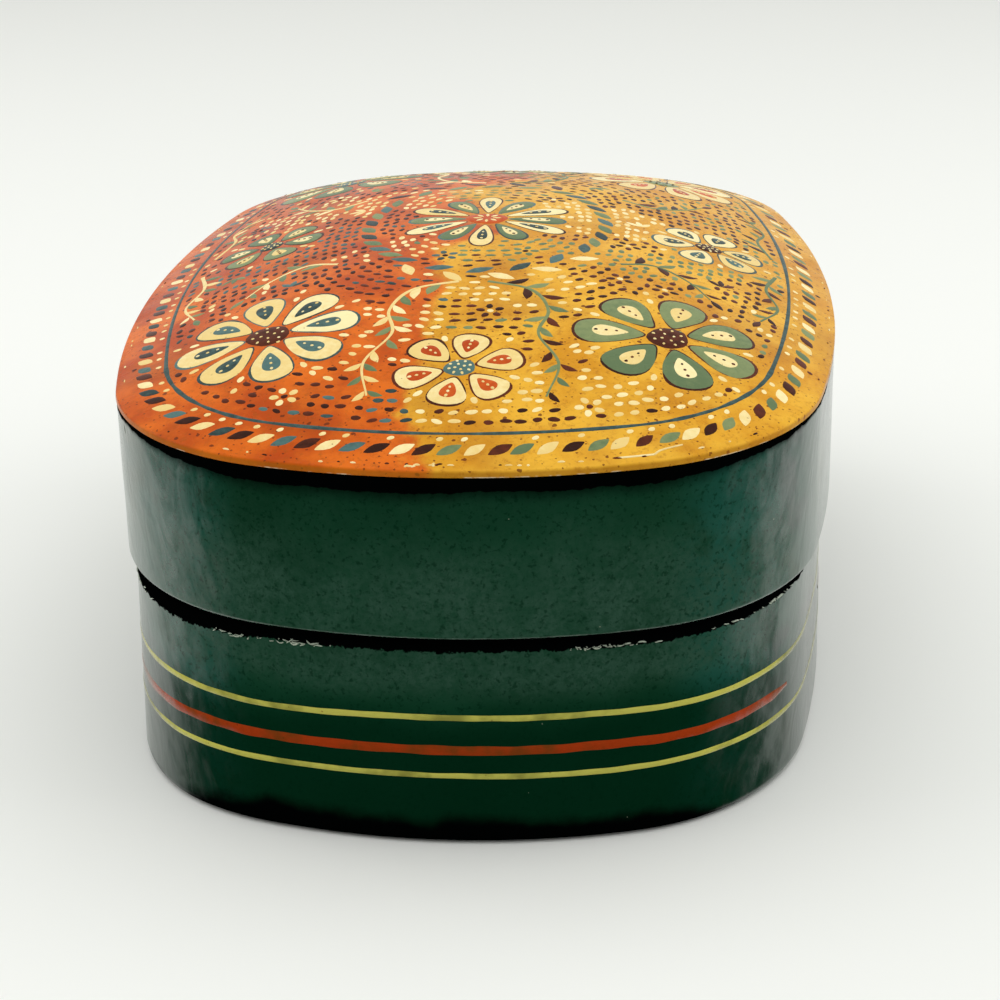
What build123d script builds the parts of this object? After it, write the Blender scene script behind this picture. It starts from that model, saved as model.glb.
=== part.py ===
from build123d import *

import os

# A papier-mache trinket box: a base with a glued-in floor and collar, and a lid that lifts off.
# Millimetres, +Z up. The origin is the centre of the underside, and the short ends face -Y and +Y.

# Plan at the top of the lid's wall, a rectangle with bowed sides and round corners
box_width = 80.0
box_depth = 110.0
end_bow_radius = 68.0
side_bow_radius = 158.0
corner_radius = 25.0

# The walls flare a little downwards, and the lid's rim stands out over the base's rim
lid_flare = 0.75
base_flare = 0.75
rim_step = 1.05

# Heights
base_height = 23.5
lid_wall_height = 17.1
edge_height = 0.9
dome_crown = 9.0
collar_rise = 6.0

# Thicknesses of the pasted paper
base_wall_thickness = 2.2
floor_thickness = 2.5
collar_thickness = 1.5
top_thickness = 2.4

# How the lid meets the base, and how far the top panel's rolled edge stands out over the lid's wall
lid_clearance = 0.3
edge_overhang = 0.3

# Sloped edges
edge_slope = 0.35
lid_rim_slope = 0.3
base_rim_slope_height = 1.1
base_rim_slope_width = 0.5
foot_slope_height = 1.2
foot_slope_width = 0.7
collar_lip_slope = 0.5

# Shape of the dome: a fullness of 2 is an even curve, and more is flatter on top and steeper at the rim.
# It is held at its centre and on a ring of points, at a share of the way out to the rim.
dome_fullness = 2.13
dome_ring_share = 0.7
dome_ring_points = 12

# Places worked out from the sizes
lid_wall_top = base_height + lid_wall_height
dome_rim = lid_wall_top + edge_height
dome_top = dome_rim + dome_crown
collar_top = base_height + collar_rise

# How far each outline stands in from the plan, or out where it is negative
base_rim_inset = rim_step - lid_flare
base_foot_inset = base_rim_inset - base_flare
collar_inset = base_rim_inset + base_wall_thickness
lid_hollow_inset = collar_inset - lid_clearance


def plan(inset):
    """The flat outline of the box, moved in by the inset."""
    end = Pos(0, box_depth / 2 - end_bow_radius) * Circle(end_bow_radius - inset)
    side = Pos(box_width / 2 - side_bow_radius, 0) * Rot(0, 0, 180) * Circle(side_bow_radius - inset)
    sharp = end & mirror(end, Plane.XZ) & side & mirror(side, Plane.YZ)
    return fillet(sharp.vertices(), corner_radius - inset)


def slab(inset, bottom, top):
    """A solid with upright sides between two heights."""
    return extrude(Pos(0, 0, bottom) * plan(inset), top - bottom)


def flared(bottom_inset, bottom, top_inset, top):
    """A solid between two heights whose outline changes evenly from one to the other."""
    return loft([Pos(0, 0, bottom) * plan(bottom_inset), Pos(0, 0, top) * plan(top_inset)], ruled=True)


def top_edges(solid):
    """The edges round a solid's top face."""
    return solid.edges().group_by(Axis.Z)[-1]


def bottom_edges(solid):
    """The edges round a solid's bottom face."""
    return solid.edges().group_by(Axis.Z)[0]


def dome(inset, rim, crown):
    """A pillow on the outline: level round its rim, and highest at the centre."""
    bottom = (Pos(0, 0, rim) * plan(inset)).face()
    ring = scale(plan(inset), dome_ring_share).face().outer_wire()
    ring_height = rim + crown * (1 - dome_ring_share**dome_fullness)
    held = [Vector(0, 0, rim + crown)]
    for number in range(dome_ring_points):
        held.append(ring.position_at(number / dome_ring_points) + Vector(0, 0, ring_height))
    skin = Face.make_surface(bottom.outer_wire(), held)
    return Solid(Shell([skin, bottom]))


def make_base_wall():
    """The base's wall: its rim slopes down outwards, and its foot slopes in."""
    wall = flared(base_foot_inset, 0, base_rim_inset, base_height)
    rim = wall.faces().sort_by(Axis.Z)[-1]
    wall = chamfer(top_edges(wall), base_rim_slope_width, base_rim_slope_height, reference=rim)
    foot = wall.faces().sort_by(Axis.Z)[0]
    wall = chamfer(bottom_edges(wall), foot_slope_width, foot_slope_height, reference=foot)
    return wall - slab(collar_inset, 0, base_height)


def make_base_floor():
    """The floor, glued inside the wall and level with its foot."""
    return slab(collar_inset, 0, floor_thickness)


def make_inner_collar():
    """The collar, glued inside the wall on the floor. It stands up into the lid and keeps it in place."""
    collar = slab(collar_inset, floor_thickness, collar_top)
    collar -= slab(collar_inset + collar_thickness, floor_thickness, collar_top)
    return chamfer(top_edges(collar), collar_lip_slope)


def lid_hollow():
    """The space inside the lid, from its rim up to the underside of the panel."""
    crown = dome_top - top_thickness - lid_wall_top
    return slab(lid_hollow_inset, base_height, lid_wall_top) + dome(lid_hollow_inset, lid_wall_top, crown)


def make_lid_wall():
    """The lid's wall, which rests on the base's rim and fits round the collar."""
    wall = flared(-lid_flare, base_height, 0, lid_wall_top)
    wall = chamfer(bottom_edges(wall), lid_rim_slope)
    return wall - lid_hollow()


def make_lid_top():
    """The domed top panel. Its edge is rolled over and stands out over the wall."""
    edge = slab(-edge_overhang, lid_wall_top, dome_rim)
    edge = chamfer(top_edges(edge) + bottom_edges(edge), edge_slope)
    return edge + dome(0, dome_rim, dome_crown) - lid_hollow()


pieces = {
    "base_wall": make_base_wall(),
    "base_floor": make_base_floor(),
    "inner_collar": make_inner_collar(),
    "lid_wall": make_lid_wall(),
    "lid_top": make_lid_top(),
}

os.makedirs("parts", exist_ok=True)
for name, piece in pieces.items():
    export_step(piece, f"parts/{name}.step")
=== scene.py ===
import math

import bpy
import numpy as np
from mathutils import Matrix, Vector


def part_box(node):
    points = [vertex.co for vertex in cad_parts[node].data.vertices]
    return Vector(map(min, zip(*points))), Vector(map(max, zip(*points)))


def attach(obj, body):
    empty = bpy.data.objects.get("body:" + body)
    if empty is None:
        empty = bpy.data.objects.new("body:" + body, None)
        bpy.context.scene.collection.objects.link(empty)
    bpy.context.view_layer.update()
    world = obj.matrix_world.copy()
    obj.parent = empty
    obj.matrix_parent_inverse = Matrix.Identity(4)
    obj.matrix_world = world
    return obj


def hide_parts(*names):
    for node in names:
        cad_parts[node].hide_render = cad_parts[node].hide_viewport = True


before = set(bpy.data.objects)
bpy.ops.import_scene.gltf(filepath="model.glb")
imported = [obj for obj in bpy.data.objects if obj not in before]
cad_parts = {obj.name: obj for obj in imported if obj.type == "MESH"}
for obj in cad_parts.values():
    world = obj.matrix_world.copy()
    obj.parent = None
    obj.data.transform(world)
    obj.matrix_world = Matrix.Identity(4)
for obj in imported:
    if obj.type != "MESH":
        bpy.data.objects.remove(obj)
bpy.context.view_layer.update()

# A lacquered papier-mache box: green walls, painted lines, and a domed lid painted with flowers.
# The sizes below are in millimetres, and meshes are scaled to metres as they are made.
METRES = 0.001

# Plan of the box, as the solids have it
box_width = 80.0
box_depth = 110.0
end_bow_radius = 68.0
side_bow_radius = 158.0
corner_radius = 25.0

# Heights
base_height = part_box("base_wall")[1].z / METRES
lid_wall_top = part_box("lid_wall")[1].z / METRES
collar_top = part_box("inner_collar")[1].z / METRES
floor_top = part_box("base_floor")[1].z / METRES
floor_lift = 0.12
edge_height = 0.9
dome_rim = lid_wall_top + edge_height
dome_crown = 8.9
dome_fullness = 2.13
hollow_crown = 7.5

# How far each surface stands in from the plan, as a negative outset, or out from it
lid_foot_outset = 0.68
lid_top_outset = 0.45
base_rim_outset = -0.3
base_rim_slope = 1.1
base_foot_outset = 0.42
lid_hollow_outset = -2.2
collar_outset = -2.5
collar_inside_outset = -4.0

# How uneven the hand-made surfaces are, and how far the base and the lid lean to the left
wall_unevenness = 0.1
collar_unevenness = 0.06
dome_unevenness = 0.12
floor_dip = 0.05
base_lean = 0.25
lid_lean = 0.1

# A wall strays in full once it is this far past its outer edge
stray_fading = 0.8

# The base bulges at its front left corner, more at the foot than at the rim.
# The corner's place and the bulge's reach are shares of the way round the box.
corner_bulge = 0.75
corner_bulge_at = 0.75
corner_bulge_reach = 0.035
corner_bulge_lost = 0.6

# Height and width of each painted line, and the run along the right side where the middle one is missing
upper_line = (14.4, 0.75)
middle_line = (10.8, 1.15)
lower_line = (7.9, 0.7)
line_gap_at = -28.0
line_gap_reach = 12.0

# The black paint and painted shade round the base's rim reach lower on the left
rim_drop = 0.6
rim_drop_at = (-32.0, -12.0)

# Paint stands a little proud, and its edges sink into what it is painted on
paint_depth = 0.035
paint_sink = 0.015

# The painting on the lid
stem_width = 0.5
petal_rim = 0.26
border_line_outset = -4.9
border_leaf_outset = -2.55
border_leaves = 129
wreath_width = 14.8
wreath_depth = 18.6
wreath_leaves = 38
grain_row_step = 0.0275
grain_step = 1.62

# The flakes along the black round the base's rim
flakes = 310
flake_points = 12
flakes_below_rim = 1.72

# Points of the meshes: along each side of the lid's square grid, round each wall, and along fine curves
grid_cells = 160
columns = 4 * grid_cells
wall_spacing = 0.55
fine_points = 4001
rim_points = 720

draw = np.random.default_rng(11)


def srgb(red, green, blue):
    """A colour given as 0 to 255 on a screen, as Blender's shaders take it."""
    channels = np.array([red, green, blue]) / 255
    linear = np.where(channels <= 0.04045, channels / 12.92, ((channels + 0.055) / 1.055) ** 2.4)
    return (*linear.tolist(), 1.0)


# The plan as a curve, found from the direction in which each point of it faces
side_centre = box_width / 2 - side_bow_radius
end_centre = box_depth / 2 - end_bow_radius
side_reach = side_bow_radius - corner_radius
end_reach = end_bow_radius - corner_radius
centre_gap = math.hypot(side_centre, end_centre)
along_gap = (side_reach**2 - end_reach**2 + centre_gap**2) / (2 * centre_gap)
across_gap = math.sqrt(side_reach**2 - along_gap**2)
corner_x = side_centre - side_centre / centre_gap * along_gap - end_centre / centre_gap * across_gap
corner_y = end_centre / centre_gap * along_gap - side_centre / centre_gap * across_gap
side_end_angle = math.atan2(corner_y, corner_x - side_centre)
corner_end_angle = math.atan2(corner_y - end_centre, corner_x)
corner_middle_angle = (side_end_angle + corner_end_angle) / 2


def facing(angle):
    """A step of one millimetre in a direction."""
    return np.stack([np.cos(angle), np.sin(angle)], -1)


def heading_of(step):
    """The direction of a step."""
    return math.atan2(step[1], step[0])


def travelled_along(path):
    """How far each point of a path lies along it."""
    steps = np.linalg.norm(np.diff(path, axis=0), axis=1)
    return np.concatenate([[0], np.cumsum(steps)])


def plan_point(angle):
    """The plan's points that face these directions."""
    step = facing(angle)
    facing_x, facing_y = np.abs(step).T
    folded = np.arctan2(facing_y, facing_x)
    zones = [folded < side_end_angle, folded > corner_end_angle]
    radius = np.select(zones, [side_bow_radius, end_bow_radius], corner_radius)
    x = np.select(zones, [side_centre, 0.0], corner_x) + radius * facing_x
    y = np.select(zones, [0.0, end_centre], corner_y) + radius * facing_y
    return np.stack([x, y], -1) * np.sign(step)


def plan_angles():
    """Directions of evenly spaced points, a quarter of them from one corner's middle to the next."""
    middles = np.array([0, 0, 1, 1, 2]) * math.pi + np.array([-1, 1, -1, 1, -1]) * corner_middle_angle
    angles = []
    for start, end in zip(middles, middles[1:]):
        fine = np.linspace(start, end, fine_points)
        travelled = travelled_along(plan_point(fine))
        wanted = np.linspace(0, travelled[-1], grid_cells + 1)[:-1]
        angles.append(np.interp(wanted, travelled, fine))
    return np.concatenate(angles)


ring_angles = plan_angles()
ring_plan = plan_point(ring_angles)
ring_facing = facing(ring_angles)
ring_turn = np.arange(columns) / columns

fine_plan = plan_point(np.linspace(-math.pi, math.pi, fine_points)[:-1])
fine_direction = np.arctan2(fine_plan[:, 1], fine_plan[:, 0])
fine_order = np.argsort(fine_direction)
fine_direction = fine_direction[fine_order]
fine_radius = np.linalg.norm(fine_plan, axis=1)[fine_order]


def at_turn(values, turn):
    """What the ring's points have, at places round the box that may lie between them."""
    return np.stack([np.interp(turn, ring_turn, along, period=1) for along in values.T], -1)


def share_out(x, y):
    """How far out a point lies, from 0 at the centre to 1 on the plan's outline."""
    radius = np.interp(np.arctan2(y, x), fine_direction, fine_radius, period=math.tau)
    return np.hypot(x, y) / radius


def waves(count, finest):
    """Random waves for an uneven surface: turns round the box, turns upwards, and a start."""
    return [
        (int(draw.integers(1, finest + 1)), draw.uniform(-2.5, 2.5), draw.uniform(0, math.tau))
        for _ in range(count)
    ]


def uneven(turn, rise, wave_list):
    """A smooth random value from -1 to 0, at a place round the box and a share of its height."""
    total = sum(np.sin(math.tau * (around * turn + up * rise) + start) for around, up, start in wave_list)
    return (total / len(wave_list) - 1) / 2


def plan_waves(count, coarsest, finest):
    """Random waves over the plan: how fine they are, their direction and their start."""
    return [
        (draw.uniform(coarsest, finest), draw.uniform(0, math.tau), draw.uniform(0, math.tau))
        for _ in range(count)
    ]


def rippled(x, y, wave_list):
    """The sum of the waves at a place on the plan."""
    total = 0.0
    for fineness, turn, start in wave_list:
        total = total + np.sin(fineness * (x * math.cos(turn) + y * math.sin(turn)) + start)
    return total


dome_waves = plan_waves(9, 0.02, 0.16)


def dome_height(x, y):
    """Height of the lid's painted face over a point of the plan."""
    out = np.minimum(share_out(x, y), 1)
    lumps = (rippled(x, y, dome_waves) / len(dome_waves) - 1) * dome_unevenness * (1 - out**8)
    return dome_rim + dome_crown * (1 - out**dome_fullness) + lumps


def add_object(name, data):
    """An object in the scene."""
    made = bpy.data.objects.new(name, data)
    bpy.context.scene.collection.objects.link(made)
    return made


def make_mesh(name, points, faces, materials, material_numbers=None):
    """A smooth mesh made from points in millimetres."""
    mesh = bpy.data.meshes.new(name)
    mesh.from_pydata((np.asarray(points) * METRES).tolist(), [], faces)
    mesh.shade_smooth()
    for material in materials:
        mesh.materials.append(material)
    if material_numbers is not None:
        mesh.polygons.foreach_set("material_index", np.asarray(material_numbers, np.int32))
    return add_object(name, mesh)


def make_piece(name, points, faces, materials, body, material_numbers=None):
    """A mesh that rides on a body."""
    made = make_mesh(name, points, faces, materials, material_numbers)
    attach(made, body)
    return made


def band_faces(first, second):
    """Four-sided faces between two closed rings of point numbers."""
    return list(zip(first, first[1:] + first[:1], second[1:] + second[:1], second))


def nested_faces(first, rings, around):
    """Faces that fill rings of points round a middle one, which has the first number."""
    numbers = np.arange(first + 1, first + 1 + rings * around).reshape(rings, around).tolist()
    inmost = numbers[0]
    faces = [(first, here, following) for here, following in zip(inmost, inmost[1:] + inmost[:1])]
    for inner, outer in zip(numbers, numbers[1:]):
        faces += band_faces(outer, inner)
    return faces


def unit(step):
    """A step's direction, as a step of one millimetre."""
    return step / np.linalg.norm(step)


def rounded_profile(corners, spacing):
    """A closed profile of evenly spaced points, from corners as (outset, height, radius)."""
    points = []
    for number, (outset, height, radius) in enumerate(corners):
        here = np.array([outset, height])
        if radius == 0:
            points.append(here)
            continue
        before = unit(corners[number - 1][:2] - here)
        after = unit(corners[(number + 1) % len(corners)][:2] - here)
        half = math.acos(np.clip(before @ after, -1, 1)) / 2
        setback = radius / math.tan(half)
        centre = here + unit(before + after) * radius / math.sin(half)
        start = here + before * setback - centre
        end = here + after * setback - centre
        for share in np.linspace(0, 1, 9):
            points.append(centre + unit(start * (1 - share) + end * share) * radius)
    filled = []
    for here, following in zip(points, points[1:] + points[:1]):
        pieces = max(1, round(np.linalg.norm(following - here) / spacing))
        filled += [here + (following - here) * k / pieces for k in range(pieces)]
    return np.array(filled)


def straying(unevenness, lean, wave_list, bulge=0.0):
    """A function for how far a hand-made wall strays, at places round it and a share of its height."""

    def stray(turn, rise):
        facing_x = at_turn(ring_facing, turn)[:, 0]
        bulging = np.exp(-(((turn - corner_bulge_at) / corner_bulge_reach) ** 2))
        bulging = bulge * bulging * (1 - corner_bulge_lost * rise)
        return unevenness * uneven(turn, rise, wave_list) - lean * facing_x + bulging

    return stray


def make_wall(name, corners, outer_from, stray, materials, body):
    """A closed wall that follows the plan. Beyond an outset it strays and has the first material."""
    profile = rounded_profile(corners, wall_spacing)
    bottom, top = profile[:, 1].min(), profile[:, 1].max()
    numbers = np.arange(len(profile) * columns).reshape(-1, columns).tolist()
    points = []
    faces = []
    material_numbers = []
    for row, (outset, height) in enumerate(profile):
        rise = (height - bottom) / (top - bottom)
        amount = np.clip((outset - outer_from) / stray_fading, 0, 1)
        flat = ring_plan + ring_facing * (outset + amount * stray(ring_turn, rise))[:, None]
        points.append(np.column_stack([flat, np.full(columns, height)]))
        faces += band_faces(numbers[row - 1], numbers[row])
        inside = max(profile[row - 1, 0], outset) < outer_from
        material_numbers += [int(inside)] * columns
    return make_piece(name, np.concatenate(points), faces, materials, body, material_numbers)


def on_grid(outset):
    """A square grid bent to the moved plan: its points, and each one's share of the way out."""
    steps = np.linspace(-1, 1, grid_cells + 1)
    across, along = np.meshgrid(steps, steps, indexing="ij")
    out = np.maximum(np.abs(across), np.abs(along))
    safe = np.where(out == 0, 1, out)
    turn = np.select(
        [np.isclose(across, out), np.isclose(along, out), np.isclose(-across, out)],
        [(along / safe + 1) / 8, 0.25 + (1 - across / safe) / 8, 0.5 + (1 - along / safe) / 8],
        0.75 + (across / safe + 1) / 8,
    )
    flat = at_turn(ring_plan + ring_facing * outset, turn) * out[..., None]
    return flat.reshape(-1, 2), out.ravel()


def grid_parts(first, upwards):
    """Point numbers of the grid's rim, in the order of a wall's ring, and its faces, turned up or down."""
    side = grid_cells + 1
    numbers = np.arange(first, first + side**2).reshape(side, side)
    rim = np.concatenate([numbers[-1, :-1], numbers[:0:-1, -1], numbers[0, :0:-1], numbers[:-1, 0]])
    corners = [numbers[:-1, :-1], numbers[1:, :-1], numbers[1:, 1:], numbers[:-1, 1:]]
    faces = np.stack(corners, -1).reshape(-1, 4)
    return rim.tolist(), (faces if upwards else faces[:, ::-1]).tolist()


# The shader networks. Long marks of the brush lean by an angle as they go up.
mark_lean = -0.35
mark_length = (1, 1, 2.6)


class Value:
    """What a shader node gives, for use in arithmetic."""

    def __init__(self, socket):
        self.socket = socket
        self.tree = socket.id_data

    def __add__(self, other):
        return calculate("ADD", self, other)

    def __sub__(self, other):
        return calculate("SUBTRACT", self, other)

    def __rsub__(self, other):
        return calculate("SUBTRACT", other, self)

    def __mul__(self, other):
        return calculate("MULTIPLY", self, other)

    def __truediv__(self, other):
        return calculate("DIVIDE", self, other)

    def __pow__(self, other):
        return calculate("POWER", self, other)

    def __abs__(self):
        return calculate("ABSOLUTE", self)


def set_inputs(node, inputs):
    """A node's inputs by name or number. Another node's value is linked, and a plain one is set."""
    for key, value in inputs.items():
        if isinstance(value, Value):
            value.tree.links.new(value.socket, node.inputs[key])
        else:
            node.inputs[key].default_value = value


def put(tree, kind, output, inputs=None, **settings):
    """What a new node gives, from its settings and inputs."""
    node = tree.nodes.new(kind)
    for key, value in settings.items():
        setattr(node, key, value)
    set_inputs(node, inputs or {})
    return Value(node.outputs[output])


def calculate(operation, first, second=0.0):
    """One step of arithmetic, with at least one shader value."""
    tree = (first if isinstance(first, Value) else second).tree
    return put(tree, "ShaderNodeMath", "Value", {0: first, 1: second}, operation=operation)


def new_material(name):
    """A material with its node tree and main shader."""
    material = bpy.data.materials.new(name)
    material.use_nodes = True
    return material, material.node_tree, material.node_tree.nodes["Principled BSDF"]


def pattern_place(tree, length):
    """The surface's place for a pattern whose marks are so many times longer along each axis."""
    place = put(tree, "ShaderNodeTexCoord", "Object")
    inputs = {"Vector": place, "Rotation": (mark_lean, 0, 0), "Scale": length}
    return put(tree, "ShaderNodeMapping", "Vector", inputs, vector_type="TEXTURE")


def noise(tree, scale, detail=3.0, roughness=0.5, length=(1, 1, 1), distortion=0.0):
    """Noise in the object's own space. The scale is in waves per metre."""
    inputs = {"Vector": pattern_place(tree, length), "Scale": scale, "Detail": detail}
    inputs |= {"Roughness": roughness, "Distortion": distortion}
    return put(tree, "ShaderNodeTexNoise", "Fac", inputs)


def place_along(tree, axis):
    """Where the surface lies along an axis, in millimetres."""
    place = put(tree, "ShaderNodeTexCoord", "Object")
    return put(tree, "ShaderNodeSeparateXYZ", axis, {"Vector": place}) / METRES


def between(value, low, high, at_low=0.0, at_high=1.0):
    """A smooth step from one value to another as the input goes from low to high."""
    inputs = {"Value": value, "From Min": low, "From Max": high, "To Min": at_low, "To Max": at_high}
    return put(value.tree, "ShaderNodeMapRange", "Result", inputs, interpolation_type="SMOOTHSTEP")


def blend(share, first, second):
    """Two colours mixed by a share."""
    return put(share.tree, "ShaderNodeMix", 2, {0: share, 6: first, 7: second}, data_type="RGBA")


def layered(colour, *layers):
    """A colour with others over it, each with its share."""
    for share, over in layers:
        colour = blend(share, colour, over)
    return colour


def specks(tree, scale, share, size, core=0.9, length=(1, 1, 1)):
    """Scattered specks in a share of a pattern's cells. They fade from the core's edge outwards."""
    inputs = {"Vector": pattern_place(tree, length), "Scale": scale, "Randomness": 1.0}
    distance = put(tree, "ShaderNodeTexVoronoi", "Distance", inputs)
    cell_colour = Value(distance.socket.node.outputs["Color"])
    random_value = put(tree, "ShaderNodeSeparateColor", "Red", {"Color": cell_colour})
    chosen = calculate("LESS_THAN", random_value, share)
    edge = noise(tree, scale * 4, 2.0) * (size * 2)
    return chosen * between(distance / edge, core, 1.0, 1.0, 0.0)


def bump(height, distance, beneath=None):
    """A fine relief over another one, with its depth in millimetres."""
    inputs = {"Height": height, "Distance": distance * METRES, "Strength": 1.0}
    if beneath is not None:
        inputs["Normal"] = beneath
    return put(height.tree, "ShaderNodeBump", "Normal", inputs)


# The grey green is painted reflection, the deep green is painted shade as well as dark speckles, and the
# black is black paint as well as painted shade.
wall_green = srgb(19, 61, 41)
wall_green_dark = srgb(14, 52, 33)
wall_green_teal = srgb(28, 80, 68)
wall_green_reflection_grey = srgb(47, 78, 63)
wall_green_shade_and_speckle = srgb(2, 38, 21)
wall_plum = srgb(66, 46, 54)
wall_olive = srgb(54, 62, 22)
wall_black = srgb(2, 3, 3)
dust_white = srgb(190, 196, 170)


def varnish_relief(tree):
    """The relief of brushed varnish over pasted paper: soft hollows, upright wrinkles and a fine grain."""
    hollows = bump(noise(tree, 160, 2.0), 0.12)
    wrinkles = bump(noise(tree, 420, 3.0, 0.6, mark_length, 1.4), 0.07, hollows)
    return bump(noise(tree, 1700), 0.012, wrinkles)


def wall_varnish(tree, shader, black=0.0):
    """Varnish that hardly shows from in front and shines in streaks at a slant, less so near the foot."""
    slant = put(tree, "ShaderNodeLayerWeight", "Facing", {"Blend": 0.5})
    dullness = between(place_along(tree, "Z"), 0.0, base_height, 1.6, 1.0)
    for scale, dullest in ((150, 2.0), (480, 1.4)):
        streaks = noise(tree, scale, 4.0, 0.6, mark_length, 1.2)
        dullness *= between(streaks, 0.3, 0.62, dullest, 0.85)
    gloss = between(slant, 0.23, 0.78) ** dullness
    slits = specks(tree, 260, 0.4, 0.06, 0.3, mark_length) * 0.85
    relief = varnish_relief(tree)
    inputs = {"Specular IOR Level": 0.0, "Roughness": 0.6, "Coat Roughness": 0.12, "Coat IOR": 2.6}
    # No coat lies over the black paint and painted shade, so that they stay dark.
    inputs["Coat Weight"] = gloss * (1.0 - calculate("MAXIMUM", slits, black))
    set_inputs(shader, inputs | {"Coat Normal": relief, "Normal": relief})


def wall_material(name, black_paint_and_shade_share, reflection_share, painted_shade_share):
    """Green lacquer with black paint, painted shade and painted reflection. Three functions give the shares
    of black paint with painted shade, of painted reflection and of painted shade.
    """
    material, tree, shader = new_material(name)
    away_x = abs(place_along(tree, "X"))
    away_y = abs(place_along(tree, "Y"))
    cloud = between(noise(tree, 60, 4.0, 0.6), 0.35, 0.65)
    at_corner = between(away_x, 20.0, 27.0) * between(away_y, 36.0, 45.0)
    bluish = between(noise(tree, 200, 5.0, 0.7), 0.3, 0.55, 0.1, 1.0)
    at_side = between(away_y, 40.0, 47.0, 1.0, 0.0)
    tinted = noise(tree, 85, 4.0, 0.6)
    plum = between(tinted, 0.5, 0.62, 0.0, 0.6)
    olive = between(tinted, 0.36, 0.48, 0.7, 0.0)
    mottle = between(noise(tree, 1300, 5.0, 0.8), 0.34, 0.62, 0.4, 1.2)
    patches = between(noise(tree, 190, 4.0, 0.6), 0.35, 0.6, 0.6, 1.0)
    pits = between(noise(tree, 2100, 3.0, 0.6), 0.54, 0.68, 0.0, 0.65)
    black = black_paint_and_shade_share(tree)
    colour = layered(
        blend(cloud, wall_green_dark, wall_green),
        (bluish * at_corner, wall_green_teal),
        (plum * at_side, wall_plum),
        (olive * at_side, wall_olive),
        # painted reflection of the pale floor
        (mottle * patches * reflection_share(tree), wall_green_reflection_grey),
        # painted shade
        (painted_shade_share(tree), wall_green_shade_and_speckle),
        (pits, wall_green_shade_and_speckle),
        (black, wall_black),
        (specks(tree, 700.0, 0.07, 0.05) * 0.3, dust_white),
    )
    set_inputs(shader, {"Base Color": colour})
    wall_varnish(tree, shader, black)
    return material


def lid_wall_black_and_shade(tree):
    """Black paint under the lid's rolled edge, thinning out round the corners, and below it painted shade
    from the overhanging edge, which fades into the green.
    """
    reach = between(abs(place_along(tree, "X")), 19.0, 40.0, 1.4, 0.12)
    ragged = between(noise(tree, 150), 0.25, 0.75, -0.25, 0.25)
    fine = between(noise(tree, 900, 4.0, 0.6), 0.25, 0.75, -0.12, 0.12)
    below = lid_wall_top - place_along(tree, "Z") + ragged + fine
    crisp = between(below - reach, 0.0, 0.14, 1.0, 0.0)
    # the soft fade below the black line is painted shade under the overhanging edge
    soft = between(below / reach, 0.6, 2.2, 0.85, 0.0)
    return calculate("MAXIMUM", crisp, soft)


def lid_wall_painted_reflection(tree):
    """Painted reflection: the lid's wall is greyer in its lower half."""
    height = place_along(tree, "Z") + noise(tree, 70, 4.0, 0.6) * 12.0
    return between(height, base_height + 10.0, base_height + 19.0, 0.85, 0.15)


def base_wall_painted_reflection(tree):
    """Painted reflection: the base's wall is greyer above the painted lines."""
    height = place_along(tree, "Z") + noise(tree, 70, 4.0, 0.6) * 3.0
    return between(height, 17.0, 20.5, 0.0, 0.8)


def lid_wall_painted_shade(tree):
    """Painted shade: the green is a little deeper here and there in the lid's upper half."""
    height = place_along(tree, "Z")
    return between(height, base_height + 9.0, base_height + 15.0, 0.0, 0.5) * noise(tree, 75)


def base_wall_painted_shade(tree):
    """Painted shade: the green is deeper from the painted lines down."""
    height = place_along(tree, "Z") + noise(tree, 90) * 4.0
    return between(height, 14.0, 19.5, 0.85, 0.0)


def base_wall_black_and_shade(tree):
    """Black paint round the base's rim, with a ragged edge, which also stands for painted shade under the
    lid's overhang, and painted shade at the foot of its ends, with a soft edge.
    """
    height = place_along(tree, "Z")
    sideways = place_along(tree, "X")
    ragged = noise(tree, 900, 5.0, 0.75) * 1.7 + noise(tree, 45, 2.0) * 0.9
    ragged += between(sideways, *rim_drop_at, rim_drop, 0.0)
    # the rim's black is black paint and also painted shade under the lid's overhang
    rim_black_and_shade = between(height + ragged, base_height - 0.6, base_height - 0.5)
    # painted shade at the foot of the ends, deeper on the left, for the shadowed floor that the foot
    # reflects
    reach = between(abs(sideways), 20.0, 33.0, 2.7, -0.3) - sideways * 0.025
    soft = between(noise(tree, 220), 0.25, 0.75, -0.5, 0.5)
    painted_foot_shade = between(height + soft - reach, -0.9, 1.1, 1.0, 0.0)
    inside = between(height, base_height - 0.35, base_height - 0.3)
    return calculate("MAXIMUM", calculate("MAXIMUM", rim_black_and_shade, painted_foot_shade), inside)


def black_material(name):
    """Plain black paint, as inside the box, with brush marks and a little rubbing."""
    material, tree, shader = new_material(name)
    marks = between(noise(tree, 260, 4.0, 0.6, (1, 4, 1)), 0.3, 0.7)
    patchy = between(noise(tree, 700, 5.0, 0.7), 0.66, 0.74, 0.0, 0.5)
    inputs = {
        "Base Color": layered(blend(marks, srgb(14, 14, 13), srgb(26, 25, 23)), (patchy, srgb(52, 44, 36))),
        "Roughness": between(noise(tree, 300, 4.0), 0.3, 0.7, 0.34, 0.5),
        "Specular IOR Level": 0.15,
        "Normal": varnish_relief(tree),
    }
    set_inputs(shader, inputs)
    return material


ground_red = srgb(226, 112, 28)
ground_red_deep = srgb(184, 72, 16)
ground_gold = srgb(236, 180, 56)
ground_gold_deep = srgb(212, 146, 32)
ground_stain = srgb(150, 82, 24)
speck_brown = srgb(104, 46, 20)
edge_shade_brown = srgb(168, 104, 14)
edge_pale = srgb(240, 220, 186)


def lid_varnish(tree, shader):
    """A thin, worn varnish that hardly veils the colours."""
    roughness = between(noise(tree, 300, 4.0), 0.3, 0.7, 0.2, 0.32)
    relief = bump(noise(tree, 1900), 0.006, bump(noise(tree, 170, 2.0), 0.05))
    set_inputs(shader, {"Specular IOR Level": 0.05, "Roughness": roughness, "Normal": relief})


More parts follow.
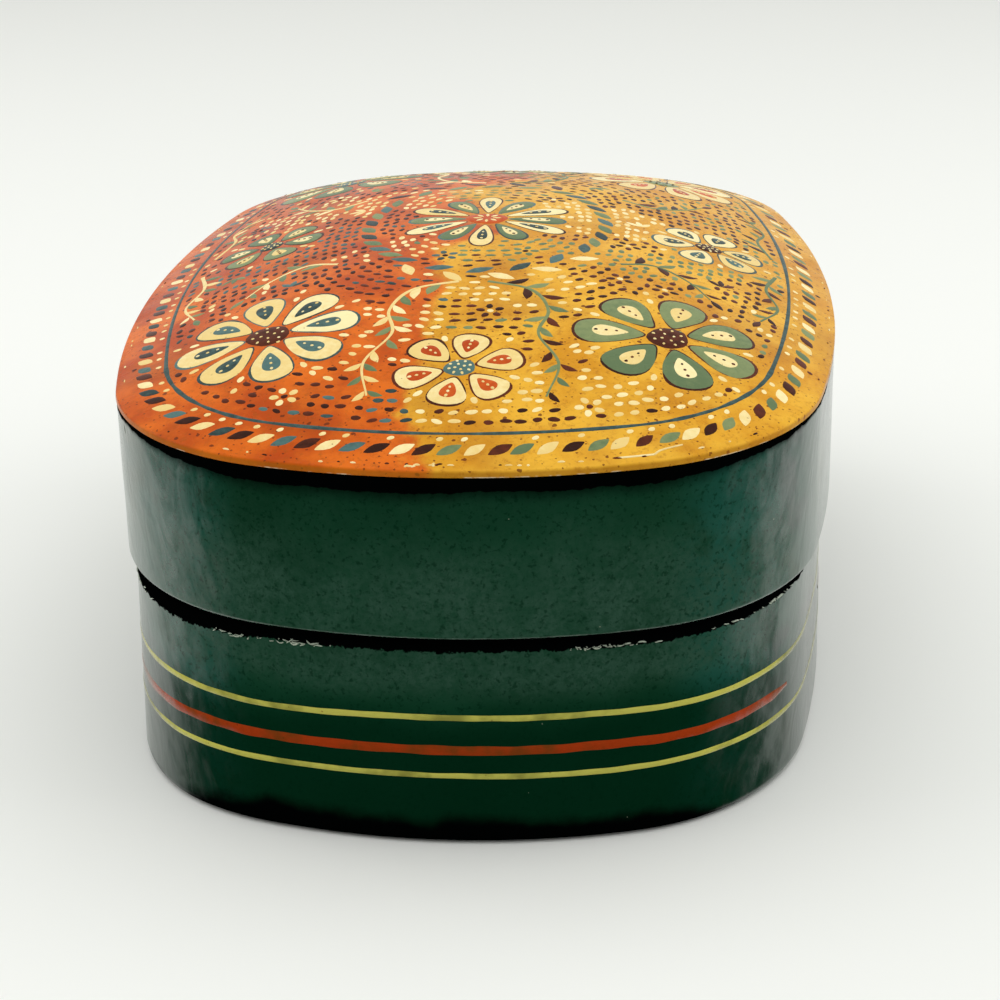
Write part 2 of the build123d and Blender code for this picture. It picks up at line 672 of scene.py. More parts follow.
def ground_material(name):
    """The lid's painted ground: orange red on the left and golden ochre on the right, aged and specked, with
    painted shade on its rolled edge and a patchy pale line along the edge's lowest part.
    """
    material, tree, shader = new_material(name)
    sideways = place_along(tree, "X") + between(noise(tree, 38), 0.0, 1.0, -17.0, 17.0)
    sideways += noise(tree, 420, 4.0, 0.6) * 7.0
    cloud = between(noise(tree, 110, 5.0, 0.6), 0.35, 0.66)
    red_side = blend(cloud, ground_red_deep, ground_red)
    gold_side = blend(cloud, ground_gold_deep, ground_gold)
    height = place_along(tree, "Z")
    patchy = between(noise(tree, 170, 4.0, 0.7), 0.52, 0.6)
    lowest = between(height, lid_wall_top + 0.1, lid_wall_top + 0.2, 0.8, 0.0)
    colour = layered(
        blend(between(sideways, 0.0, 4.0), red_side, gold_side),
        (between(noise(tree, 75), 0.5, 0.7, 0.0, 0.35), ground_stain),
        (between(noise(tree, 1500, 5.0, 0.75), 0.5, 0.7, 0.0, 0.5), ground_stain),
        (specks(tree, 620.0, 0.5, 0.15) * 0.85, speck_brown),
        (specks(tree, 1500.0, 0.6, 0.18) * 0.8, speck_brown),
        # painted shade on the face of the rolled edge, which turns down away from the light
        (between(height, dome_rim - 0.45, dome_rim - 0.1, 0.55, 0.0), edge_shade_brown),
        # a patchy pale line along the lowest part of the rolled edge
        (patchy * lowest, edge_pale),
    )
    set_inputs(shader, {"Base Color": colour})
    lid_varnish(tree, shader)
    return material


def paint_colour(tree, light, dark):
    """Brushed paint, uneven in depth and a little dirty. Each dab has its own tone."""
    tone = put(tree, "ShaderNodeAttribute", "Fac", attribute_name="tone")
    share = noise(tree, 1300, 4.0, 0.6) * 0.7 + tone * 0.6
    dirt = specks(tree, 1400.0, 0.16, 0.13) * 0.55
    return layered(blend(between(share, 0.3, 0.95), light, dark), (dirt, speck_brown))


lid_wall_paint = wall_material("lid_lacquer", lid_wall_black_and_shade, lid_wall_painted_reflection, lid_wall_painted_shade)
base_wall_paint = wall_material("base_lacquer", base_wall_black_and_shade, base_wall_painted_reflection, base_wall_painted_shade)
inside_paint = black_material("inside_black")
ground_paint = ground_material("lid_ground")


# The walls, the floor and the collar

lid_side = make_wall(
    "lid_side",
    [
        (lid_foot_outset, base_height, 0.5),
        (lid_top_outset, lid_wall_top, 0.0),
        (lid_hollow_outset, lid_wall_top, 0.0),
        (lid_hollow_outset, base_height, 0.25),
    ],
    -1.0,
    straying(wall_unevenness, lid_lean, waves(12, 11)),
    (lid_wall_paint, inside_paint),
    "lid",
)
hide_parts("lid_wall")

base_stray = straying(wall_unevenness, base_lean, waves(12, 11), corner_bulge)
base_side = make_wall(
    "base_side",
    [
        (base_foot_outset, 0.0, 1.1),
        (base_rim_outset, base_height - base_rim_slope, 0.6),
        (base_rim_outset - 0.55, base_height, 0.2),
        (collar_outset, base_height, 0.0),
        (collar_outset, 0.0, 0.0),
    ],
    -1.4,
    base_stray,
    (base_wall_paint, inside_paint),
    "base",
)
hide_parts("base_wall")

collar = make_wall(
    "collar",
    [
        (collar_outset, floor_top, 0.0),
        (collar_outset, collar_top, 0.6),
        (collar_inside_outset, collar_top, 0.6),
        (collar_inside_outset, floor_top, 0.0),
    ],
    -3.4,
    straying(collar_unevenness, 0.0, waves(10, 9)),
    (inside_paint, inside_paint),
    "base",
)
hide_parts("inner_collar")


def make_floor():
    """The floor: two faces that are uneven as pasted paper is, joined round their rim."""
    flat, out = on_grid(collar_outset)
    x, y = flat.T
    dips = (np.sin(x * 0.21 + 0.6) * np.sin(y * 0.16 + 1.9) - 1) * floor_dip * (1 - out**4)
    points = [np.column_stack([flat, floor_top + dips]), np.column_stack([flat, floor_lift - dips])]
    rim, faces = grid_parts(0, True)
    lower_rim, lower_faces = grid_parts(len(flat), False)
    faces += lower_faces + band_faces(lower_rim, rim)
    return make_piece("base_bottom", np.concatenate(points), faces, [inside_paint], "base")


base_bottom = make_floor()
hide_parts("base_floor")


# The lid's top panel

edge_corners = [(0.08, dome_rim - 0.04, 0.0), (0.48, dome_rim - 0.16, 0.3), (0.52, lid_wall_top, 0.2)]
edge_corners += [(lid_hollow_outset, lid_wall_top, 0.0), (lid_hollow_outset, dome_rim - 0.06, 0.0)]


def make_panel():
    """The domed panel, with its squared edge and the hollow below it, as one closed skin."""
    flat, _ = on_grid(0)
    points = [np.column_stack([flat, dome_height(*flat.T)])]
    ring, faces = grid_parts(0, True)
    count = len(flat)
    edge_waves = waves(10, 23)
    profile = rounded_profile(edge_corners, wall_spacing)
    for outset, height in profile[: np.argmin(profile[:, 0])]:
        moved = wall_unevenness * uneven(ring_turn, height, edge_waves) - lid_lean * ring_facing[:, 0]
        moved *= np.clip(outset * 4, 0, 1)
        flat = ring_plan + ring_facing * (outset + moved)[:, None]
        points.append(np.column_stack([flat, np.full(columns, height)]))
        below = list(range(count, count + columns))
        faces += band_faces(below, ring)
        ring = below
        count += columns
    outside = len(faces)
    flat, out = on_grid(lid_hollow_outset)
    points.append(np.column_stack([flat, lid_wall_top + hollow_crown * (1 - out**dome_fullness)]))
    hollow_rim, hollow_faces = grid_parts(count, False)
    faces += band_faces(hollow_rim, ring) + hollow_faces
    material_numbers = np.arange(len(faces)) >= outside
    made_of = (ground_paint, inside_paint)
    return make_piece("lid_panel", np.concatenate(points), faces, made_of, "lid", material_numbers)


lid_panel = make_panel()
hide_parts("lid_top")


# How far each small cell of the lid lies from the paint on it, up to a reach

gap_cell = 0.2
gap_reach = 2.4
half_size = np.array([box_width, box_depth]) / 2
paint_gap = np.full((int(box_width / gap_cell) + 1, int(box_depth / gap_cell) + 1), gap_reach)
cell_places = np.moveaxis(np.indices(paint_gap.shape), 0, -1) * gap_cell - half_size


def cell_of(points):
    """The cell numbers of points on the lid."""
    numbers = np.round((points + half_size) / gap_cell).astype(int)
    return np.clip(numbers, 0, np.array(paint_gap.shape) - 1)


def gap_at(points):
    """The distance from points to the nearest paint."""
    numbers = cell_of(points)
    return paint_gap[numbers[..., 0], numbers[..., 1]]


def mark(outline):
    """Notes that a painted shape fills an outline."""
    low = cell_of(outline.min(0) - gap_reach)
    high = cell_of(outline.max(0) + gap_reach) + 1
    window = slice(low[0], high[0]), slice(low[1], high[1])
    place = cell_places[window][..., None, :]
    run = np.roll(outline, -1, axis=0) - outline
    share = ((place - outline) * run).sum(-1) / (run**2).sum(-1)
    nearest = outline + np.clip(share, 0, 1)[..., None] * run
    distance = np.linalg.norm(place - nearest, axis=-1).min(-1)
    level_with = (outline[:, 1] > place[..., 1]) != (np.roll(outline[:, 1], -1) > place[..., 1])
    steepness = run[:, 0] / np.where(run[:, 1] == 0, 1, run[:, 1])
    crossing = outline[:, 0] + (place[..., 1] - outline[:, 1]) * steepness
    inside = (level_with & (place[..., 0] < crossing)).sum(-1) % 2 == 1
    paint_gap[window] = np.minimum(paint_gap[window], np.where(inside, 0, distance))


def fits(outline, margin=0.15):
    """Whether a shape keeps clear of the paint and stays on the lid."""
    on_lid = share_out(outline[:, 0], outline[:, 1]).max() < 0.985
    return bool(on_lid and gap_at(outline).min() > margin and gap_at(outline.mean(0)) > margin)


def turned(points, angle, place):
    """Points turned about the origin, then moved to a place."""
    cosine, sine = math.cos(angle), math.sin(angle)
    return points @ np.array([[cosine, sine], [-sine, cosine]]) + np.asarray(place)


class Paint:
    """All the dabs and strokes of one colour on the lid."""

    def __init__(self, name, light, dark):
        self.name = name
        self.material, tree, shader = new_material(name)
        set_inputs(shader, {"Base Color": paint_colour(tree, light, dark)})
        lid_varnish(tree, shader)
        self.points = []
        self.faces = []
        self.tones = []
        self.count = 0

    def add(self, flat, raised, faces):
        """Points over the dome, raised by an amount, and faces numbered from the first of them."""
        height = dome_height(*flat.T) + raised
        self.points.append(np.column_stack([flat, height]))
        self.faces += [tuple(number + self.count for number in face) for face in faces]
        self.tones.append(np.full(len(flat), draw.uniform(0, 1)))
        self.count += len(flat)

    def dab(self, shape, angle, place, level=0, rings=3):
        """A filled shape, turned and at its place, on a level over the ground."""
        outline = turned(shape, angle, place)
        if level == 0:
            mark(outline)
        centre = outline.mean(0)
        base = level * paint_depth
        flat = [centre[None, :]]
        raised = [[base + paint_depth]]
        for ring in range(1, rings + 1):
            share = (ring / rings) ** 0.7
            flat.append(centre + (outline - centre) * share)
            raised.append(np.full(len(outline), base + paint_depth * (1 - share**5)))
        raised[-1][:] = -paint_sink
        self.add(np.concatenate(flat), np.concatenate(raised), nested_faces(0, rings, len(outline)))

    def dab_if_clear(self, shape, angle, place, rings=2):
        """A filled shape, left out where it would touch other paint."""
        if fits(turned(shape, angle, place)):
            self.dab(shape, angle, place, 0, rings)

    def stroke(self, path, width, level=0):
        """A brushed line along a path, with one width or a width at each point of it."""
        width = np.broadcast_to(width, len(path))
        along = np.gradient(path, axis=0)
        along /= np.linalg.norm(along, axis=1)[:, None]
        left = np.column_stack([-along[:, 1], along[:, 0]])
        for start in range(0, len(path) - 1, 5):
            piece = slice(start, start + 6)
            reach = left[piece] * (width[piece] / 2)[:, None]
            mark(np.concatenate([path[piece] + reach, (path[piece] - reach)[::-1]]))
        base = level * paint_depth
        flat = []
        raised = []
        for side, lift in ((1, 0), (0.7, 0.85), (0, 1), (-0.7, 0.85), (-1, 0)):
            flat.append(path + left * (side * width / 2)[:, None])
            raised.append(np.full(len(path), base + paint_depth * lift if lift else -paint_sink))
        rows = np.arange(len(flat) * len(path)).reshape(len(flat), -1).tolist()
        faces = []
        for here, following in zip(rows, rows[1:]):
            faces += zip(here, following, following[1:], here[1:])
        self.add(np.concatenate(flat), np.concatenate(raised), faces)

    def finish(self):
        """The colour's object, which rides on the lid."""
        made = make_piece(self.name, np.concatenate(self.points), self.faces, [self.material], "lid")
        tone = made.data.attributes.new("tone", "FLOAT", "POINT")
        tone.data.foreach_set("value", np.concatenate(self.tones).astype(np.float32))


cream = Paint("paint_cream", srgb(250, 234, 176), srgb(236, 206, 130))
teal = Paint("paint_teal", srgb(134, 146, 98), srgb(98, 118, 82))
slate = Paint("paint_slate", srgb(84, 116, 112), srgb(44, 60, 58))
brown = Paint("paint_brown", srgb(98, 44, 24), srgb(50, 24, 14))
red = Paint("paint_red", srgb(212, 96, 34), srgb(176, 64, 18))


# Shapes of the brush, each along the x axis

def spokes(count, first=0.0):
    """Evenly spaced directions."""
    return [first + math.tau * number / count for number in range(count)]


def brushed_ring(around, unevenness):
    """Points round a circle of radius 1, and how far a brushed outline strays at each, as a factor."""
    turn = np.linspace(0, math.tau, around, endpoint=False)
    strays = sum(np.sin(count * turn + draw.uniform(0, math.tau)) / count for count in (2, 3, 5, 8))
    return np.cos(turn), np.sin(turn), 1 + unevenness * strays


def leaf_shape(length, width, around=20, bend=0.0):
    """A brush-made leaf, pointed at both ends, from its base at the origin."""
    along, across, edge = brushed_ring(around, 0.08)
    across = across * (1 - 0.6 * along**2) * edge
    return np.column_stack([(along + 1) * length / 2, across * width / 2 + bend * length * (1 - along**2)])


def petal_shape(length, width, around=32):
    """A petal, narrow at its base at the origin and broad near its tip."""
    along, across, edge = brushed_ring(around, 0.05)
    across = across * (0.66 + 0.34 * along) * edge
    return np.column_stack([(along + 1) * length / 2, across * width / 2])


def grain_shape(length, width, around=14):
    """A small dab round the origin, a little irregular."""
    along, across, edge = brushed_ring(around, 0.1)
    return np.column_stack([along * length / 2, across * width / 2]) * edge[:, None]


def outlined_petal(start, length, width, angle, place, paints):
    """A petal with a dark outline, a smaller one painted in it, and three dots on that."""
    outline_paint, petal_paint, inner_paint, dot_paint = paints
    outline_paint.dab(petal_shape(length, width) + (start, 0), angle, place, 0, 5)
    fill = petal_shape(length - 2.2 * petal_rim, width - 2 * petal_rim) + (start + petal_rim, 0)
    petal_paint.dab(fill, angle, place, 1, 5)
    inner = petal_shape(length * 0.56, width * 0.48) + (start + length * 0.2, 0)
    inner_paint.dab(inner, angle, place, 2, 3)
    for number in range(3):
        dot = grain_shape(0.5 + 0.06 * number, 0.4 + 0.06 * number, 8)
        dot_paint.dab(dot + (start + length * (0.4 + 0.13 * number), 0), angle, place, 3, 2)


def flower(place, petals, reach, first_angle, paints, middle_paint, seed_paint):
    """A flower of broad outlined petals round a cluster of seeds."""
    width = 1.76 * reach * math.sin(math.pi / petals)
    for spoke in spokes(petals, first_angle):
        angle = spoke + draw.normal(0, 0.025)
        length = reach * draw.uniform(0.76, 0.83)
        outlined_petal(reach * 0.2, length, width, angle, place, paints)
        for out, size in ((0.83, 1.3), (1.03, 1.1)):
            seed = grain_shape(size, 0.75) + (reach * out, 0)
            seed_paint.dab_if_clear(seed, angle + math.pi / petals, place)
    middle_paint.dab(grain_shape(reach * 0.46, reach * 0.44, 20), first_angle, place, 2, 3)
    for out, seeds in ((0.155, 8), (0.07, 4)):
        for angle in spokes(seeds, first_angle):
            seed_paint.dab(grain_shape(0.5, 0.42, 8) + (reach * out, 0), angle, place, 3, 2)


def curve_through(controls, count):
    """A smooth open curve through control points."""
    controls = np.asarray(controls, float)
    before = 2 * controls[0] - controls[1]
    after = 2 * controls[-1] - controls[-2]
    padded = np.array([before, *controls, after])
    spans = len(controls) - 1
    points = []
    for place in np.linspace(0, spans, count):
        span = min(int(place), spans - 1)
        t = place - span
        a, b, c, d = padded[span : span + 4]
        squared = (2 * a - 5 * b + 4 * c - d) * t**2
        cubed = (3 * b - a - 3 * c + d) * t**3
        points.append(0.5 * (2 * b + (c - a) * t + squared + cubed))
    return np.array(points)


def vine(controls, stem_paint, leaf_paints, leaf_length):
    """A stem with pairs of leaves along it and one at its tip, where they touch no other paint."""
    path = curve_through(controls, 90)
    share = np.linspace(0, 1, len(path))
    width = stem_width * (1.1 - 0.6 * share) * (1 + 0.12 * np.sin(share * 23 + draw.uniform(0, 6)))
    travelled = travelled_along(path)
    spacing = leaf_length * 0.82
    pairs = int(travelled[-1] / spacing)
    for number in range(1, pairs + 1):
        at = np.searchsorted(travelled, number * spacing - spacing * 0.3)
        at = min(max(at, 1), len(path) - 2)
        heading = heading_of(path[at + 1] - path[at - 1])
        size = leaf_length * (1.05 - 0.35 * number / pairs)
        for side in (1, -1):
            angle = heading + side * draw.uniform(0.75, 0.95)
            paint = leaf_paints[(number + (side > 0)) % len(leaf_paints)]
            shape = leaf_shape(size, size * 0.4, 16, -0.1 * side) + (stem_width * 0.25, 0)
            paint.dab_if_clear(shape, angle, path[at], 3)
    tip = leaf_shape(leaf_length * 0.9, leaf_length * 0.32)
    leaf_paints[0].dab_if_clear(tip, heading_of(path[-1] - path[-2]), path[-1], 3)
    stem_paint.stroke(path, width)


def rim_path(outset):
    """A closed line that follows the plan, moved out or in, as points and directions."""
    ring_numbers = np.linspace(0, columns, rim_points + 1)
    closed_angles = np.append(ring_angles, ring_angles[0] + math.tau)
    angles = np.interp(ring_numbers, np.arange(columns + 1), closed_angles)
    return plan_point(angles) + facing(angles) * outset, angles


def paint_border():
    """Slanting leaves along the rim, with a dab on each side, and a thin line inside them."""
    path, angles = rim_path(border_line_outset)
    slate.stroke(path, 0.5 * (1 + 0.15 * np.sin(angles * 17) + 0.12 * np.sin(angles * 41)))
    path, angles = rim_path(border_leaf_outset)
    travelled = travelled_along(path)
    for number in range(border_leaves):
        at = np.searchsorted(travelled, travelled[-1] * number / border_leaves)
        heading = angles[at] + math.pi / 2 + 0.6 + draw.normal(0, 0.07)
        paints = (cream, brown, teal) if path[at, 0] > -4 else (cream, slate, brown)
        length = draw.uniform(2.7, 3.1)
        shape = leaf_shape(length, length * 0.46, 16) - (length / 2, 0)
        paints[number % 3].dab(shape, heading, path[at])
    for number in range(border_leaves):
        at = np.searchsorted(travelled, travelled[-1] * (number + 0.5) / border_leaves)
        for side, paint in ((-1.55, cream), (1.15, brown), (-0.7, brown), (1.8, cream)):
            place = path[at] + side * facing(angles[at])
            paint.dab_if_clear(grain_shape(0.85, 0.62), angles[at] + 2.1, place)


def paint_middle():
    """The middle of the lid: a rosette inside a wreath of leaves."""
    middle = (0, 0)
    kinds = (7.4, (slate, teal, cream, brown)), (8.6, (brown, cream, slate, cream))
    for number, spoke in enumerate(spokes(12)):
        length, paints = kinds[number % 2]
        outlined_petal(2.2, length, 4.3, spoke + draw.normal(0, 0.02), middle, paints)
    red.dab(grain_shape(4.8, 4.6, 20), 0, middle, 2, 4)
    for angle in spokes(8):
        cream.dab(leaf_shape(1.5, 0.6, 12) + (0.4, 0), angle, middle, 3, 2)
    for number, angle in enumerate(spokes(wreath_leaves)):
        place = facing(angle) * (wreath_width, wreath_depth)
        heading = heading_of((-wreath_width * math.sin(angle), wreath_depth * math.cos(angle)))
        paints = (teal, cream) if number % 2 else (slate, brown)
        for side, paint in zip((0.55, -0.55), paints):
            paint.dab_if_clear(leaf_shape(3.7, 1.55, 14), heading + side, place, 3)


def paint_flowers():
    """Large flowers near the corners, and smaller ones between them and the rim."""
    pale = (slate, cream, slate, cream)
    green = (brown, teal, cream, brown)
    warm = (brown, cream, red, cream)
    flower((-20.9, -30.9), 8, 10.2, 0.2, pale, brown, cream)
    flower((20.9, -31.1), 7, 10.0, 0.5, green, brown, cream)
    flower((-20.7, 31.1), 7, 10.0, 0.1, green, slate, cream)
    flower((20.7, 31.1), 8, 10.2, 0.35, warm, teal, brown)
    flower((0.0, -39.4), 6, 7.0, 0.3, warm, slate, cream)
    flower((0.0, 39.4), 6, 7.0, -0.3, green, brown, cream)
    flower((-25.9, 0.5), 6, 6.9, 0.9, green, slate, cream)
    flower((25.9, -0.5), 6, 6.9, 0.2, pale, brown, cream)


def paint_vines():
    """Leafy stems that wind between the flowers, the same in each quarter of the lid."""
    outward = ((1.6, 20.8), (6.4, 22.8), (8.4, 27.6), (7.6, 32.6), (9.9, 38.2), (8.9, 44.0))
    across = ((15.8, 13.4), (19.6, 12.0), (23.2, 14.6), (25.6, 18.6))
    along = ((33.6, 3.5), (32.2, 9.5), (33.2, 15.0), (31.0, 20.5))
    for side in (-1, 1):
        stem, leaves = (cream, (teal, cream)) if side < 0 else (teal, (brown, teal))
        for end in (-1, 1):
            for controls, leaf_length in ((outward, 3.0), (across, 3.0), (along, 2.8)):
                vine(np.array(controls) * (side, end), stem, leaves, leaf_length)


patch_waves = plan_waves(6, 0.16, 0.34)


def pick_paint(place, on_left, on_right):
    """One of three paints, in patches, from each side's three. The first is the commonest."""
    level = rippled(*place, patch_waves) + draw.normal(0, 0.7)
    paints = on_left if place[0] + draw.normal(0, 2) < -3 else on_right
    return paints[0 if abs(level) < 1.15 else 1 if level > 0 else 2]


def small_flower(place):
    """Five dabs round a sixth."""
    first = draw.uniform(0, 1)
    petals = pick_paint(place, (cream, slate, cream), (brown, teal, cream))
    for angle in spokes(5, first):
        petals.dab(grain_shape(1.15, 0.86) + (1.05, 0), angle, place, 0, 2)
    middle = cream if petals is brown else brown
    middle.dab(grain_shape(0.75, 0.75), first, place, 1, 2)


def small_sprig(place):
    """A short leafy sprig: three leaves from one point."""
    heading = draw.uniform(0, math.tau)
    leaves = pick_paint(place, (slate, cream, teal), (teal, brown, cream))
    base = place - 1.05 * facing(heading)
    for side in (-0.8, 0, 0.8):
        leaves.dab(leaf_shape(2.3 * draw.uniform(0.85, 1.05), 0.85, 14), heading + side, base, 0, 2)


def paint_filling():
    """Small flowers and sprigs here and there, and rows of grains over all the ground that is left."""
    for tries, room, motif in ((150, 2.1, small_flower), (130, 1.9, small_sprig)):
        for _ in range(tries):
            place = np.array([draw.uniform(-35, 35), draw.uniform(-50, 50)])
            if share_out(*place) < 0.85 and gap_at(place) > room:
                motif(place)
    for share in np.arange(0.878, 0.05, -grain_row_step):
        row = plan_point(np.linspace(0, math.tau, 2001)) * share
        travelled = travelled_along(row)
        for at in np.arange(draw.uniform(0, 1.6), travelled[-1] - 1, grain_step):
            number = np.searchsorted(travelled, at)
            place = row[number] + draw.normal(0, 0.1, 2)
            if gap_at(place) < 0.5:
                continue
            heading = heading_of(row[number] - row[number - 1]) + draw.normal(0, 0.22)
            paint = pick_paint(place, (brown, cream, slate), (brown, teal, cream))
            paint.dab(grain_shape(draw.uniform(1.05, 1.45), draw.uniform(0.68, 0.86)), heading, place, 0, 2)


def paint_edge_wear_and_highlight():
    """Chips of paint along the lid's edge, and a crease in the varnish near its front right corner, with a
    painted highlight along the crease in pale paint.
    """
    path, angles = rim_path(-0.35)
    for _ in range(60):
        at = draw.integers(0, len(path))
        shape = grain_shape(draw.uniform(0.25, 0.9), draw.uniform(0.14, 0.26), 9)
        place = path[at] + draw.normal(0, 0.06, 2)
        paint = cream if draw.uniform() < 0.7 else brown
        paint.dab(shape, angles[at] + math.pi / 2, place, 1, 2)
    for _ in range(9):
        place = (draw.uniform(-4.2, -0.6), -box_depth / 2 + draw.uniform(0.2, 0.6))
        shape = grain_shape(draw.uniform(0.3, 0.8), draw.uniform(0.2, 0.3))
        paint = cream if draw.uniform() < 0.6 else brown
        paint.dab(shape, draw.normal(0, 0.4), place, 1, 2)
    path, _ = rim_path(-0.5)
    fold = path[(path[:, 1] < 0) & (path[:, 0] > 15.8) & (path[:, 0] < 19.6)]
    bend = curve_through([fold[-1], fold[-1] + (0.7, 0.75), fold[-1] + (2.7, 1.9)], 14)
    # the crease's pale strokes are a painted highlight on the lifted varnish
    cream.stroke(fold, 0.2, 1)
    cream.stroke(bend, np.linspace(0.24, 0.14, len(bend)), 1)
    brown.dab(grain_shape(1.1, 0.3, 10), 0.2, fold[0], 1, 2)


paint_border()
paint_middle()
paint_flowers()
paint_vines()
paint_filling()
paint_edge_wear_and_highlight()
for paint in (cream, teal, slate, brown, red):
    paint.finish()


# The painted lines round the base, and the flaked paint along its rim

def on_base(turn, height, lift):
    """Points on the base's wall at places round it, raised by a lift."""
    share = height / (base_height - base_rim_slope)
    outset = base_foot_outset + (base_rim_outset - base_foot_outset) * share
    outset = outset + lift + base_stray(turn, height / base_height)
    flat = at_turn(ring_plan, turn) + at_turn(ring_facing, turn) * outset[:, None]
    return np.column_stack([flat, height])


def paint_line(name, size, material, gap=(0, 0)):
    """A hand-painted line round the base's wall, wavering a little. A gap leaves out a run of its points."""
    height, width = size
    drift = (uneven(ring_turn, 0, waves(10, 13)) + 0.5) * 0.5
    spread = {side: 1 + (uneven(ring_turn, 0, waves(14, 60)) + 0.5) * 0.55 for side in (-1, 1)}
    kept = np.arange(gap[1], gap[0] + columns) % columns
    fullness = np.ones(columns)
    if gap[1] > gap[0]:
        from_end = np.minimum(np.arange(len(kept)), np.arange(len(kept))[::-1])
        fullness[kept] = np.clip(from_end / 5, 0.3, 1) ** 0.6
    points = []
    for side, lift in ((-1, -0.03), (-0.75, 0.03), (0, 0.045), (0.75, 0.03), (1, -0.03)):
        level = height + drift + side * fullness * width / 2 * spread[1 if side > 0 else -1]
        points.append(on_base(ring_turn, level, lift)[kept])
    rows = np.arange(len(points) * len(kept)).reshape(len(points), -1).tolist()
    faces = []
    for here, following in zip(rows, rows[1:]):
        strip = band_faces(here, following)
        faces += strip if len(kept) == columns else strip[:-1]
    make_piece(name, np.concatenate(points), faces, [material], "base")


def line_material(name, light, dark):
    """Brushed paint under the wall's varnish, darker in places."""
    material, tree, shader = new_material(name)
    thin = between(noise(tree, 90, 4.0, 0.7), 0.46, 0.64, 0.0, 0.55)
    faded = between(abs(place_along(tree, "Y")), 36.0, 47.0, 0.55, 0.0)
    colour = layered(paint_colour(tree, light, dark), (thin, wall_olive), (faded, wall_olive))
    set_inputs(shader, {"Base Color": colour})
    wall_varnish(tree, shader)
    return material


gold_line_paint = line_material("line_gold", srgb(196, 192, 90), srgb(160, 158, 62))
red_line_paint = line_material("line_red", srgb(164, 58, 20), srgb(112, 40, 14))
bare_side = np.flatnonzero((ring_plan[:, 0] > 0) & (abs(ring_plan[:, 1] - line_gap_at) < line_gap_reach))
paint_line("line_upper", upper_line, gold_line_paint)
paint_line("line_middle", middle_line, red_line_paint, (bare_side[0], bare_side[-1]))
paint_line("line_lower", lower_line, gold_line_paint)


def make_rim_flakes():
    """Small curled flakes of pale and green paint along the lower edge of the rim's black."""
    length_round = travelled_along(ring_plan)[-1]
    clusters = draw.integers(0, 4, 40) / 4 + draw.normal(0, 0.045, 40)
    points = []
    faces = []
    for number in range(flakes):
        turn = (clusters[draw.integers(0, len(clusters))] + draw.normal(0, 0.005)) % 1
        sideways = np.interp(turn, ring_turn, ring_plan[:, 0])
        drop = rim_drop * np.interp(sideways, rim_drop_at, (1, 0))
        height = base_height - flakes_below_rim - drop + draw.normal(0, 0.12)
        length = draw.uniform(0.14, 0.3) if draw.uniform() < 0.55 else draw.uniform(0.4, 1.4)
        flake = grain_shape(length, draw.uniform(0.06, 0.13), flake_points)
        flake[:, 1] += draw.uniform(-0.5, 0.8) * (flake[:, 0] ** 2 - length**2 / 8)
        flake = turned(flake, draw.normal(0, 0.22), (0, 0))
        points.append(on_base(np.array([turn]), np.array([height]), 0.13))
        for share, lift in ((0.6, 0.1), (1.0, -0.02)):
            places = turn + flake[:, 0] * share / length_round
            points.append(on_base(places, height + flake[:, 1] * share, lift))
        faces += nested_faces(number * (1 + 2 * flake_points), 2, flake_points)
    material, tree, shader = new_material("flake_pale")
    set_inputs(shader, {"Base Color": paint_colour(tree, srgb(190, 200, 182), srgb(60, 96, 76))})
    make_piece("rim_flakes", np.concatenate(points), faces, [material], "base")


make_rim_flakes()


# The floor, the light and the camera

floor_reach = 4000.0
floor_drop = 0.02
floor_seen_colour = srgb(241, 242, 238)
light_from_behind = 0.78
light_from_front = 0.37
backdrop_brightness = 0.86
backdrop_colour = (0.99, 1.0, 0.98, 1.0)


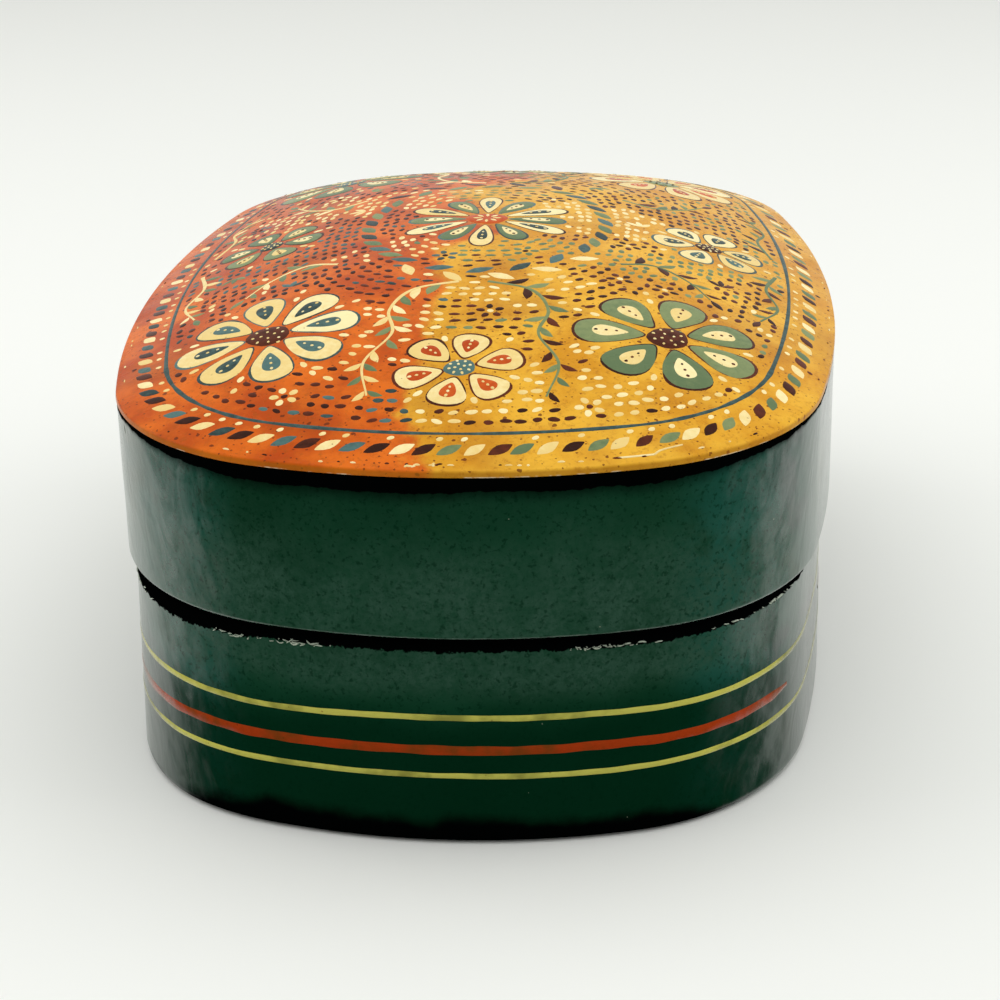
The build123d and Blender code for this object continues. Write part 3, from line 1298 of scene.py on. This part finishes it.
def add_floor():
    """A wide pale floor, which isn't part of the object. Far from the box it fades into the backdrop."""
    material, tree, shader = new_material("studio_floor")
    grain = between(noise(tree, 900), 0.3, 0.7)
    by_camera = put(tree, "ShaderNodeLightPath", "Is Camera Ray")
    in_gloss = put(tree, "ShaderNodeLightPath", "Is Glossy Ray")
    colour = blend(grain, srgb(226, 227, 222), srgb(230, 231, 226))
    colour = blend(calculate("MAXIMUM", by_camera, in_gloss), colour, floor_seen_colour)
    set_inputs(shader, {"Base Color": colour, "Roughness": 0.9, "Specular IOR Level": 0.1})
    place = put(tree, "ShaderNodeTexCoord", "Object")
    distance = put(tree, "ShaderNodeVectorMath", "Value", {0: place}, operation="LENGTH")
    clear = put(tree, "ShaderNodeBsdfTransparent", "BSDF")
    inputs = {0: between(distance, 0.6, 1.6), 1: Value(shader.outputs["BSDF"]), 2: clear}
    faded = put(tree, "ShaderNodeMixShader", "Shader", inputs)
    set_inputs(tree.nodes["Material Output"], {"Surface": faded})
    corners = [(x * floor_reach, y * floor_reach, 0) for x, y in ((-1, -1), (1, -1), (1, 1), (-1, 1))]
    floor = make_mesh("studio_floor", corners, [(0, 1, 2, 3)], [material])
    floor.location.z = -floor_drop * METRES


def make_world():
    """Soft light from all round, stronger from behind. Seen directly, it is an even pale backdrop."""
    world = bpy.data.worlds.new("studio")
    world.use_nodes = True
    tree = world.node_tree
    direction = put(tree, "ShaderNodeTexCoord", "Generated")
    ahead = put(tree, "ShaderNodeSeparateXYZ", "Y", {"Vector": direction})
    light = between(ahead, -0.7, 0.5, light_from_front, light_from_behind)
    seen = put(tree, "ShaderNodeLightPath", "Is Camera Ray")
    strength = light * (1.0 - seen) + seen * backdrop_brightness
    set_inputs(tree.nodes["Background"], {"Strength": strength, "Color": backdrop_colour})
    bpy.context.scene.world = world


def add_lamp(name, place, size, power):
    """A soft square lamp that points at the box. Its place and size are in metres."""
    lamp = bpy.data.lights.new(name, "AREA")
    lamp.shape = "SQUARE"
    lamp.size = size
    lamp.energy = power
    made = add_object(name, lamp)
    made.location = place
    made.rotation_euler = (-Vector(place)).to_track_quat("-Z", "Y").to_euler()


add_floor()
make_world()
add_lamp("overhead", (0.02, -0.08, 0.6), size=0.8, power=1.85)
add_lamp("left", (-0.55, 0.02, 0.32), size=0.5, power=1.0)
add_lamp("right", (0.55, 0.02, 0.32), size=0.5, power=1.0)

# The camera is fitted to the outline of the box in the photograph
camera_target = Vector((1.8457, -13.705, 20.2226)) * METRES
camera_distance = 233.67 * METRES
camera_pitch = 0.4112
camera_yaw = 0.0752
camera_roll = -0.0209
camera_lens = 71.83

camera = bpy.data.cameras.new("camera")
camera.sensor_width = 36.0
camera.lens = camera_lens
camera.clip_start = 0.01
camera_object = add_object("camera", camera)
view = Matrix.Rotation(camera_yaw, 4, "Z") @ Matrix.Rotation(math.pi / 2 - camera_pitch, 4, "X")
view = view @ Matrix.Rotation(camera_roll, 4, "Z") @ Matrix.Translation((0, 0, camera_distance))
camera_object.matrix_world = Matrix.Translation(camera_target) @ view
bpy.context.scene.camera = camera_object
bpy.context.scene.view_settings.view_transform = "Standard"
